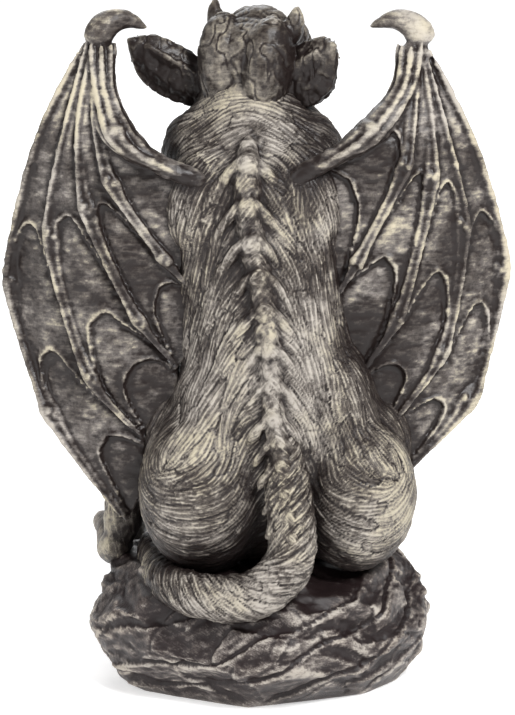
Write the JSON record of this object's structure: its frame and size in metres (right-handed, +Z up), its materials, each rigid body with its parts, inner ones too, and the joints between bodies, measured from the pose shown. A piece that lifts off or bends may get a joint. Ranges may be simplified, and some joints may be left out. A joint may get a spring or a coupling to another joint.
{
  "type": "gargoyle statue",
  "caption": "Seated winged gargoyle with half-open bat wings and a curled tail, cast in one piece with the rock it sits on, for a garden or shelf.",
  "frame": {"origin": "middle of the rock's flat underside", "axes": "+Z up, the figure faces -Y, and its left side is +X"},
  "size_m": [0.3035, 0.1979, 0.4078],
  "materials": {
    "cast_resin": "hollow cast resin painted as weathered stone: purple-black recesses, grey skin and dry-brushed beige ridges, with a slight satin"
  },
  "bodies": {
    "root": {"gargoyle": "cast_resin"}
  },
  "joints": []
}
